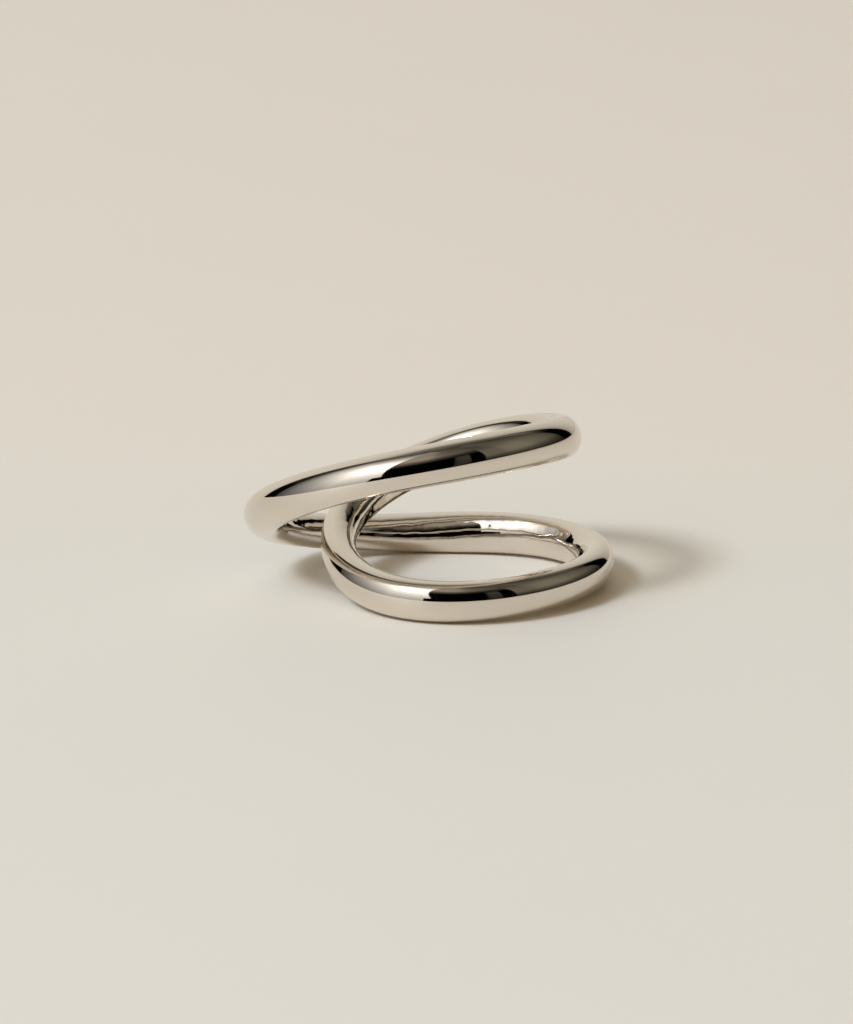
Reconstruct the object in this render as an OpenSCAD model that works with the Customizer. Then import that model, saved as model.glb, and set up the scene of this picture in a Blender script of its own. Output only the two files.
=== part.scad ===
// A finger ring made of one smooth, slightly oval wire that goes round the finger
// twice and closes on itself, so that it has no ends. The turns meet at no point: on the
// closed side one strand swings out and passes outside the other, and on the open
// side they stand apart like an open shell. The ring lies on its lower turn, on
// Z = 0, with the open side towards +X and the origin under the middle of it.

/* [Finger hole] */
// Width of the hole that the finger goes through
bore_d = 16; // [14:0.5:22]

/* [Wire] */
// Thickness of the oval wire, across its flatter sides
wire_w = 2.8; // [2:0.1:3.2]
// Width of the oval wire, across its rounder sides
wire_h = 3.35; // [2:0.05:3.4]

/* [Shape] */
// Height that the turns gain and lose, as a share of the shape drawn below
spread = 1; // [0.9:0.05:1.2]
// Lean of the finger hole from upright towards the closed side, as the ring lies
lean = 9; // [5:0.5:12]

/* [Smoothness] */
// Rings of facets along the wire
wire_rings = 144; // [96:8:192]
// Facets round the wire
wire_sides = 20; // [12:4:24]

/* [Hidden] */

// Columns of the table of the wire's path
TURN = 0;
STANDOFF = 1;
RISE = 2;
ROLL = 3;
// Width of the finger hole that the table is drawn for
drawn_bore_d = 16;
// Each row is a place on the wire, an eighth of a turn after the last: degrees gone
// round from the open side, standoff of the wire from the finger hole, rise of the
// wire's middle along the hole, and roll of the oval from upright, which turns its
// outer side up
path = [
    [  0, 1.0, -6.0, -25], // lower turn, open side
    [ 45, 1.2, -5.6,  -5],
    [ 90, 0.8, -4.6, -25], // lower turn, back
    [135, 3.5, -2.8, -75],
    [180, 5.5,  1.9, -35], // outer strand, closed side
    [225, 3.3,  6.1,  40],
    [270, 1.0,  7.0,  35], // upper turn, front
    [315, 0.1,  6.3,  20],
    [360, 0.1,  4.8,  10], // upper turn, open side
    [405, 0.2,  3.5,   0],
    [450, 0.0,  2.3,   5], // upper turn, back
    [495, 0.1,  0.7,   0],
    [540, 0.0, -1.3,   0], // inner strand, closed side
    [585, 0.3, -3.2,   5],
    [630, 0.3, -4.5, -15], // lower turn, front
    [675, 0.1, -5.4, -20]
];

// The wire's whole way round, in degrees
whole_way = 720;
// Size of the ring against the one that the table is drawn for
ring_scale = bore_d / drawn_bore_d;
// Half the rows, which is as many waves as they can hold
waves = len(path) / 2;

function total(values) = values * [for (value = values) 1];
function unit(v) = v / norm(v);

// Share that a row has at a place `gap` degrees along the wire from it. The shares
// make one smooth closed curve that passes through every row.
function share(gap) =
    let (ripples = [for (wave = [1 : waves - 1]) 2 * cos(wave * gap / 2)])
    (1 + total(ripples) + cos(waves * gap / 2)) / len(path);

// One column of the table, read anywhere along the wire
function along(turn, column) =
    [for (row = path) row[column]] * [for (row = path) share(turn - row[TURN])];

// The middle of the wire, about the finger hole's axis
function middle(turn) =
    let (reach = bore_d / 2 + wire_w / 2 + ring_scale * along(turn, STANDOFF))
    [reach * cos(turn), reach * sin(turn), ring_scale * spread * along(turn, RISE)];

// Directions at a place on the wire: along it, up the finger hole, and outwards
function heading(turn) =
    let (step = whole_way / wire_rings)
    unit(middle(turn + step) - middle(turn - step));
function upwards(ahead) = unit([0, 0, 1] - ahead * ahead[2]);
function outwards(ahead) = cross(ahead, upwards(ahead));

// One oval ring of points round the wire, rolled about the wire's own middle
function oval(turn) =
    let (ahead = heading(turn), up = upwards(ahead), out = outwards(ahead))
    let (roll = along(turn, ROLL))
    let (across = out * cos(roll) + up * sin(roll), tall = up * cos(roll) - out * sin(roll))
    [for (side = [0 : wire_sides - 1])
        let (round = 360 * side / wire_sides)
        middle(turn) + across * cos(round) * wire_w / 2 + tall * sin(round) * wire_h / 2];

// A point of the upright ring, after the ring leans over to lie on its lower turn
function leaned(p) =
    [p[0] * cos(lean) - p[2] * sin(lean), p[1], p[0] * sin(lean) + p[2] * cos(lean)];

skin = [for (ring = [0 : wire_rings - 1]) each
    [for (p = oval(ring * whole_way / wire_rings)) leaned(p)]];

// Middle of the skin's extent along one axis, and the lowest point of it
function centre(axis) =
    let (values = [for (p = skin) p[axis]])
    (min(values) + max(values)) / 2;
floor_z = min([for (p = skin) p[2]]);

// Number of the point at one side of one ring, counted on round both ways
function point_at(ring, side) = (ring % wire_rings) * wire_sides + side % wire_sides;

facets = [for (ring = [0 : wire_rings - 1], side = [0 : wire_sides - 1]) each [
    [point_at(ring, side), point_at(ring + 1, side), point_at(ring + 1, side + 1)],
    [point_at(ring, side), point_at(ring + 1, side + 1), point_at(ring, side + 1)]
]];

module band()
    color("silver")
    translate([-centre(0), -centre(1), -floor_z])
    polyhedron(points = skin, faces = facets);

band();
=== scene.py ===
import bpy
from math import sin, cos, tan, radians, pi
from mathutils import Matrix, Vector


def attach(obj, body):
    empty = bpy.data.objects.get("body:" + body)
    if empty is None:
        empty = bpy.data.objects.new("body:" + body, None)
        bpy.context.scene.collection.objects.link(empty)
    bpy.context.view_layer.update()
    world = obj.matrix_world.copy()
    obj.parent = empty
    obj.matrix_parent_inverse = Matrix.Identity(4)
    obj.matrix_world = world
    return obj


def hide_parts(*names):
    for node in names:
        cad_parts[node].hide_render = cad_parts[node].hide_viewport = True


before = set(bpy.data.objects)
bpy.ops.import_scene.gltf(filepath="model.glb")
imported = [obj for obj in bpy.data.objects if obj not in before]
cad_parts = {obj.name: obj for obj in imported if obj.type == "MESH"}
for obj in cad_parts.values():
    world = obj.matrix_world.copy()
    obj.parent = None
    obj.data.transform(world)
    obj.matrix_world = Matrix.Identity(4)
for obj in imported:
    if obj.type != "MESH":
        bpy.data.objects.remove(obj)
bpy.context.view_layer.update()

# The camera stands in front of the ring and a little above it, a long way off for
# the ring's size, so that the wire hardly tapers. It looks past the ring at a spot
# on the floor behind it, which puts the ring low in the frame.
MM = 0.001
look_at = Vector((-0.21, 21.95, 0)) * MM
camera_up = radians(15.9)
camera_away = 600 * MM
frame_high_px = 1024
px_per_mm = 12.2
sensor_mm = 36
lens = bpy.data.cameras.new("camera")
lens.sensor_width = sensor_mm
lens.lens = sensor_mm * px_per_mm * (camera_away / MM) / frame_high_px
lens.clip_start = 0.01
lens.clip_end = 20
camera = bpy.data.objects.new("camera", lens)
camera.location = look_at + camera_away * Vector((0, -cos(camera_up), sin(camera_up)))
camera.rotation_euler = (radians(90) - camera_up, 0, 0)
bpy.context.collection.objects.link(camera)
bpy.context.scene.camera = camera
bpy.context.scene.view_settings.view_transform = "Standard"


# The floor is a wide board of pale warm paper, matt and without a seam, lying flat
# under the ring. It is not part of the ring.
def linear(hex_colour):
    """An sRGB hex colour as a linear colour for a socket."""
    parts = [int(hex_colour[i:i + 2], 16) / 255 for i in (1, 3, 5)]
    return [p / 12.92 if p <= 0.04045 else ((p + 0.055) / 1.055) ** 2.4 for p in parts] + [1]


def add_node(material, kind, settings=None, links=None):
    """A node with its settings and the links into it, by name or number of socket."""
    node = material.node_tree.nodes.new(kind)
    for name, value in (settings or {}).items():
        if name in node.inputs:
            node.inputs[name].default_value = value
        else:
            setattr(node, name, value)
    for name, source in (links or {}).items():
        material.node_tree.links.new(source, node.inputs[name])
    return node


def new_material(name):
    """An empty node material with only its output."""
    material = bpy.data.materials.new(name)
    material.use_nodes = True
    material.node_tree.nodes.clear()
    return material


def finish_material(material, shader):
    """Links the last shader to the output."""
    add_node(material, "ShaderNodeOutputMaterial", links={"Surface": shader.outputs[0]})
    return material


def matt_paper():
    """Smooth warm-white paper: the faintest sheen and wide clouds in its tone. It is painted a
    touch warmer towards the back of the table: painted light falloff, where the cool key light
    fades and leaves the warm fill."""
    material = new_material("matt_paper")
    place = add_node(material, "ShaderNodeTexCoord")
    # The back colour is painted light falloff: the paper turns warmer where the cool key light
    # fades.
    near_colour, painted_falloff_colour, cloud_tint = "#E8E1D2", "#EBE0CF", "#FCFCFC"
    near_mm, back_mm = 5, 60
    cloud_mm = 40
    clouds = add_node(material, "ShaderNodeTexNoise", {"Scale": 1 / (cloud_mm * MM), "Detail": 4},
                      {"Vector": place.outputs["Object"]})
    depth = add_node(material, "ShaderNodeSeparateXYZ", links={"Vector": place.outputs["Object"]})
    # This ramp paints the key light's falloff onto the paper, from near the ring to the back.
    painted_falloff = add_node(material, "ShaderNodeMapRange",
                    {"From Min": near_mm * MM, "From Max": back_mm * MM},
                    {"Value": depth.outputs["Y"]})
    tone_with_falloff = add_node(material, "ShaderNodeMix", {"data_type": "RGBA"}, {"Factor": painted_falloff.outputs[0]})
    tone_with_falloff.inputs[6].default_value = linear(near_colour)
    tone_with_falloff.inputs[7].default_value = linear(painted_falloff_colour)
    cloudy = add_node(material, "ShaderNodeMix", {"data_type": "RGBA", "blend_type": "MULTIPLY"},
                      {"Factor": clouds.outputs["Fac"], 6: tone_with_falloff.outputs[2]})
    cloudy.inputs[7].default_value = linear(cloud_tint)
    paper = add_node(material, "ShaderNodeBsdfPrincipled",
                     {"Roughness": 0.6, "IOR": 1.45, "Specular IOR Level": 0.4},
                     {"Base Color": cloudy.outputs[2]})
    return finish_material(material, paper)


# Far enough, in metres, that its edge shows neither to the camera nor in the ring
floor_reach = 4.0
floor_mesh = bpy.data.meshes.new("floor")
floor_mesh.from_pydata(
    [(-floor_reach, -floor_reach, 0), (floor_reach, -floor_reach, 0),
     (floor_reach, floor_reach, 0), (-floor_reach, floor_reach, 0)], [], [(0, 1, 2, 3)])
floor = bpy.data.objects.new("floor", floor_mesh)
floor.data.materials.append(matt_paper())
bpy.context.collection.objects.link(floor)

# The studio round the ring is what a mirror finish shows: a circle of curved cards, with
# a softbox at the front left, a backdrop behind, dark flags between and a grey wall on
# the right. Their brightness was read off the photo's reflections, by direction.
room_radius = 2.6  # metres, so that all parts of the ring mirror the same room


def curved_card(name, from_turn, to_turn, foot, head, material, nearer=0.0, slant=0.0):
    """A card bent round the ring, between two turns and two heights, in degrees. Turns run
    clockwise from the back, seen from above. The far side goes on by the slant, in
    degrees, from foot to head, and a card can stand some metres nearer."""
    across, up = 24, 20
    away = room_radius - nearer
    points = []
    for row in range(up + 1):
        rise = radians(foot + (head - foot) * row / up)
        far_side = to_turn + slant * row / up
        for column in range(across + 1):
            turn = radians(from_turn + (far_side - from_turn) * column / across)
            points.append((away * sin(turn) * cos(rise), away * cos(turn) * cos(rise),
                           away * sin(rise)))
    wide = across + 1
    faces = [(r * wide + c, r * wide + c + 1, (r + 1) * wide + c + 1, (r + 1) * wide + c)
             for r in range(up) for c in range(across)]
    mesh = bpy.data.meshes.new(name)
    mesh.from_pydata(points, [], faces)
    spread = mesh.uv_layers.new(name="card")
    for loop in mesh.loops:
        row, column = divmod(loop.vertex_index, wide)
        spread.data[loop.index].uv = (column / across, row / up)
    mesh.materials.append(material)
    card = bpy.data.objects.new(name, mesh)
    card.visible_camera = False
    card.visible_shadow = False
    bpy.context.collection.objects.link(card)
    return card


def lit_cloth(name, colour, across, upward):
    """Lit cloth or paper, whose brightness fades both ways. Each list holds stops: share
    of the way across or up, and brightness. The two fades multiply."""
    material = new_material(name)
    place = add_node(material, "ShaderNodeUVMap", {"uv_map": "card"})
    split = add_node(material, "ShaderNodeSeparateXYZ", links={"Vector": place.outputs[0]})
    level = None
    for stops, axis in ((across, "X"), (upward, "Y")):
        top = max(brightness for way, brightness in stops)
        fade = add_node(material, "ShaderNodeFloatCurve", links={"Value": split.outputs[axis]})
        curve = fade.mapping.curves[0]
        for number, (way, brightness) in enumerate(stops):
            if number < 2:
                curve.points[number].location = (way, brightness / top)
            else:
                curve.points.new(way, brightness / top)
        for point in curve.points:
            point.handle_type = "AUTO_CLAMPED"
        fade.mapping.update()
        scaled = add_node(material, "ShaderNodeMath", {"operation": "MULTIPLY"},
                          {0: fade.outputs[0]})
        scaled.inputs[1].default_value = top
        if level is None:
            level = scaled
        else:
            level = add_node(material, "ShaderNodeMath", {"operation": "MULTIPLY"},
                             {0: level.outputs[0], 1: scaled.outputs[0]})
    glow = add_node(material, "ShaderNodeEmission", {"Color": linear(colour)},
                    {"Strength": level.outputs[0]})
    # The cards are so wide that bounced rays find them without help
    material.cycles.emission_sampling = "NONE"
    return finish_material(material, glow)


softbox_cloth = lit_cloth(
    "softbox_cloth", "#FFFEFA",
    [(0, 1), (0.4, 1), (0.52, 0.8), (0.59, 0.7), (0.66, 0.58), (0.72, 0.48), (0.79, 0.4),
     (0.86, 0.31), (0.92, 0.21), (1, 0.12)],
    [(0, 0.53), (0.06, 0.55), (0.1, 0.6), (0.17, 0.74), (0.25, 0.89), (0.32, 1.1),
     (0.39, 1.3), (0.47, 1.65), (0.58, 2), (0.67, 1.85), (0.73, 1.3), (0.82, 0.69),
     (0.91, 0.35), (1, 0.23)])
curved_card("softbox", 202, 292, 0, 86, softbox_cloth)
backdrop_paper = lit_cloth(
    "backdrop_paper", "#FFFAEC",
    [(0, 0.86), (0.15, 0.96), (0.45, 0.98), (0.58, 0.93), (0.71, 0.86), (0.84, 0.75),
     (0.9, 0.66), (0.97, 0.5), (1, 0.3)],
    [(0, 0.74), (0.23, 0.77), (0.35, 0.77), (0.47, 0.77), (0.53, 0.73), (0.6, 0.69),
     (0.67, 0.62), (0.74, 0.42), (0.82, 0.22), (0.92, 0.14), (1, 0.13)])
curved_card("backdrop", 309, 400, 0, 86, backdrop_paper, slant=-5)
grey_wall = lit_cloth(
    "grey_wall", "#FFF8DB",
    [(0, 0.3), (0.15, 0.55), (0.36, 0.8), (0.54, 1), (0.7, 0.95), (0.84, 0.7), (1, 0.7)],
    [(0, 0.02), (0.1, 0.075), (0.18, 0.13), (0.26, 0.2), (0.36, 0.21), (0.5, 0.2),
     (0.62, 0.15), (0.72, 0.12), (0.86, 0.1), (1, 0.12)])
curved_card("grey_wall", 53, 133, 0, 80, grey_wall)
dark_flag = lit_cloth(
    "dark_flag", "#FFF2DC",
    [(0, 0.3), (0.4, 0.5), (0.7, 1), (1, 1)],
    [(0, 0.001), (0.36, 0.001), (0.43, 0.03), (0.51, 0.1), (0.6, 0.24), (0.69, 0.34),
     (0.8, 0.3), (1, 0.27)])
curved_card("front_flag", 132, 203, 13, 84, dark_flag, nearer=0.05, slant=18)
black_flag = lit_cloth("black_flag", "#FFF2DC", [(0, 1), (1, 1)], [(0, 0.001), (1, 0.001)])
curved_card("foot_flag", 132, 210, 0, 14, black_flag, nearer=0.07)
side_flag = lit_cloth(
    "side_flag", "#FFF2DC",
    [(0, 1), (1, 1)],
    [(0, 0.002), (0.27, 0.002), (0.34, 0.02), (0.43, 0.03), (0.52, 0.05), (0.6, 0.06),
     (0.7, 0.08), (0.8, 0.12), (1, 0.14)])
curved_card("left_flag", 292, 309, -2, 80, side_flag, nearer=0.05)
low_flag = lit_cloth(
    "low_flag", "#FFF2DC",
    [(0, 1), (1, 1)],
    [(0, 0.001), (0.35, 0.001), (0.46, 0.04), (0.55, 0.1), (0.65, 0.15), (0.8, 0.14),
     (1, 0.12)])
curved_card("right_flag", 39, 54, 0, 80, low_flag, nearer=0.05)
grey_board = lit_cloth(
    "grey_board", "#FFF4DC",
    [(0, 1), (0.7, 0.9), (1, 0.4)],
    [(0, 0.03), (0.4, 0.04), (0.8, 0.055), (1, 0.03)])
curved_card("grey_board", 143, 155, 3, 42, grey_board, nearer=0.1)

# The key light is a lamp head behind the softbox's cloth: a small core, which gives the
# shadow its edge, and a cooler glow round it. A wide warm fill behind the camera lifts
# the shadows. The mirror finish shows the core through the cloth, not the glow or fill.
def area_lamp(name, turn_deg, rise_deg, wide_deg, high_deg, brightness, colour):
    """An oval lamp that faces the ring, by where it stands and how wide it looks, in
    degrees. Its brightness is counted as the cards' is."""
    away = 2.45  # metres, just inside the room's cards
    turn, rise = radians(turn_deg), radians(rise_deg)
    light = bpy.data.lights.new(name, "AREA")
    light.shape = "ELLIPSE"
    light.size = 2 * away * tan(radians(wide_deg / 2))
    light.size_y = 2 * away * tan(radians(high_deg / 2))
    area = pi * light.size * light.size_y / 4
    light.energy = brightness * pi * area
    light.color = linear(colour)[:3]
    lamp = bpy.data.objects.new(name, light)
    lamp.location = away * Vector((sin(turn) * cos(rise), cos(turn) * cos(rise), sin(rise)))
    lamp.rotation_euler = lamp.location.to_track_quat("Z", "Y").to_euler()
    bpy.context.collection.objects.link(lamp)
    return lamp


area_lamp("lamp_core", 230, 43, 12, 12, 42, "#F1F6FF")
lamp_glow = area_lamp("lamp_glow", 231, 49, 30, 24, 5.4, "#AED2FF")
lamp_glow.visible_glossy = False
room_fill = area_lamp("room_fill", 175, 42, 70, 60, 1.15, "#FFE0B6")
room_fill.visible_glossy = False

world = bpy.data.worlds.new("dim_room")
bpy.context.scene.world = world
world.use_nodes = True
world.node_tree.nodes["Background"].inputs["Color"].default_value = linear("#FFE8CC")
world.node_tree.nodes["Background"].inputs["Strength"].default_value = 0.08

# The ring itself is one endless wire of cast silver with no seam or end. It goes
# round the finger twice; the file and the polishing wheel have left its section a
# soft oval that rolls to and fro as it goes, and a mirror finish all over.
bore_d = 16
wire_w = 2.8
wire_h = 3.35
lean = radians(9)
whole_way = 720
# Each row is a place on the wire, an eighth of a turn after the last: degrees gone
# round, standoff from the finger hole and rise along it in mm, and roll of the oval.
# A script outside this file fitted the values to the photo, and they were then rounded.
path = [
    (0, 1.0, -6.0, -25),
    (45, 1.2, -5.6, -5),
    (90, 0.8, -4.6, -25),
    (135, 3.5, -2.8, -75),
    (180, 5.5, 1.9, -35),
    (225, 3.3, 6.1, 40),
    (270, 1.0, 7.0, 35),
    (315, 0.1, 6.3, 20),
    (360, 0.1, 4.8, 10),
    (405, 0.2, 3.5, 0),
    (450, 0.0, 2.3, 5),
    (495, 0.1, 0.7, 0),
    (540, 0.0, -1.3, 0),
    (585, 0.3, -3.2, 5),
    (630, 0.3, -4.5, -15),
    (675, 0.1, -5.4, -20),
]
waves = len(path) // 2


def share(gap):
    """Share that a row of the path has at a place some degrees along the wire from it."""
    ripples = sum(2 * cos(radians(wave * gap / 2)) for wave in range(1, waves))
    return (1 + ripples + cos(radians(waves * gap / 2))) / len(path)


def place_on_wire(turn):
    """The wire's middle about the finger hole's axis, and the roll of its oval."""
    shares = [share(turn - row[0]) for row in path]
    standoff, rise, roll = [sum(s * row[column] for s, row in zip(shares, path))
                            for column in (1, 2, 3)]
    reach = bore_d / 2 + wire_w / 2 + standoff
    at = radians(turn)
    return Vector((reach * cos(at), reach * sin(at), rise)), radians(roll)


def swept_wire(name, rings, sides):
    """The whole wire as one closed mesh, smooth all over. Its UV map holds the way gone
    along the wire and the angle round it, counted from the outer side."""
    look_deg = 5
    points = []
    rolls = []
    for ring in range(rings):
        turn = whole_way * ring / rings
        middle, roll = place_on_wire(turn)
        rolls.append(roll)
        ahead = place_on_wire(turn + look_deg)[0] - place_on_wire(turn - look_deg)[0]
        ahead.normalize()
        up = (Vector((0, 0, 1)) - ahead * ahead.z).normalized()
        out = ahead.cross(up)
        across = out * cos(roll) + up * sin(roll)
        tall = up * cos(roll) - out * sin(roll)
        for side in range(sides):
            around = radians(360 * side / sides)
            p = middle + across * cos(around) * wire_w / 2 + tall * sin(around) * wire_h / 2
            points.append(Vector((p.x * cos(lean) - p.z * sin(lean), p.y,
                                  p.x * sin(lean) + p.z * cos(lean))))
    low = [min(p[axis] for p in points) for axis in range(3)]
    high = [max(p[axis] for p in points) for axis in range(3)]
    foot = Vector(((low[0] + high[0]) / 2, (low[1] + high[1]) / 2, low[2]))
    points = [(p - foot) * MM for p in points]
    faces = []
    for ring in range(rings):
        here, there = ring * sides, (ring + 1) % rings * sides
        for side in range(sides):
            beside = (side + 1) % sides
            faces.append((here + side, here + beside, there + beside, there + side))
    mesh = bpy.data.meshes.new(name)
    mesh.from_pydata(points, [], faces)
    mesh.shade_smooth()
    way = mesh.uv_layers.new(name="wire")
    for face in mesh.polygons:
        ring, side = divmod(face.index, sides)
        for corner, (on, over) in zip(face.loop_indices, ((0, 0), (0, 1), (1, 1), (1, 0))):
            around = 2 * pi * (side + over) / sides + rolls[(ring + on) % rings]
            way.data[corner].uv = ((ring + on) / rings, around)
    return mesh


def polished_silver():
    """Sterling silver off the polishing wheel: a mirror with a faint warm tone. The wheel
    reaches the outer side best; inside the lower turn the hand tool has left small waves."""
    material = new_material("polished_silver")
    place = add_node(material, "ShaderNodeTexCoord")
    wave_mm = 1.1
    waves_in = add_node(material, "ShaderNodeTexNoise",
                        {"Scale": 1 / (wave_mm * MM), "Detail": 1, "Roughness": 0.45},
                        {"Vector": place.outputs["Object"]})
    way = add_node(material, "ShaderNodeUVMap", {"uv_map": "wire"})
    round_way = add_node(material, "ShaderNodeSeparateXYZ", links={"Vector": way.outputs[0]})
    # 1 on the wire's outer side, and -1 on the side towards the finger
    facing = add_node(material, "ShaderNodeMath", {"operation": "COSINE"},
                      {0: round_way.outputs["Y"]})
    inside = add_node(material, "ShaderNodeMapRange",
                      {"From Min": 0.3, "From Max": -0.7, "To Min": 0.04, "To Max": 0.75},
                      {"Value": facing.outputs[0]})
    # The waves are on the lower turn alone, below these heights
    waves_end_mm, waves_full_mm = 9.5, 7.5
    height = add_node(material, "ShaderNodeSeparateXYZ", links={"Vector": place.outputs["Object"]})
    low_turn = add_node(material, "ShaderNodeMapRange",
                        {"From Min": waves_end_mm * MM, "From Max": waves_full_mm * MM,
                         "To Min": 0.15},
                        {"Value": height.outputs["Z"]})
    waviness = add_node(material, "ShaderNodeMath", {"operation": "MULTIPLY"},
                        {0: inside.outputs[0], 1: low_turn.outputs[0]})
    wave_depth_mm = 0.06
    waved = add_node(material, "ShaderNodeBump", {"Distance": wave_depth_mm * MM},
                     {"Height": waves_in.outputs["Fac"], "Strength": waviness.outputs[0]})
    haze_mm = 1.2
    haze = add_node(material, "ShaderNodeTexNoise", {"Scale": 1 / (haze_mm * MM), "Detail": 3},
                    {"Vector": place.outputs["Object"]})
    gloss = add_node(material, "ShaderNodeMapRange", {"To Min": 0.03, "To Max": 0.07},
                     {"Value": haze.outputs["Fac"]})
    silver = add_node(material, "ShaderNodeBsdfPrincipled",
                      {"Base Color": linear("#E4DBD0"), "Metallic": 1},
                      {"Roughness": gloss.outputs[0], "Normal": waved.outputs[0]})
    return finish_material(material, silver)


wire = bpy.data.objects.new("ring_wire", swept_wire("ring_wire", rings=720, sides=72))
wire.data.materials.append(polished_silver())
bpy.context.collection.objects.link(wire)
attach(wire, "root")
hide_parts("band")
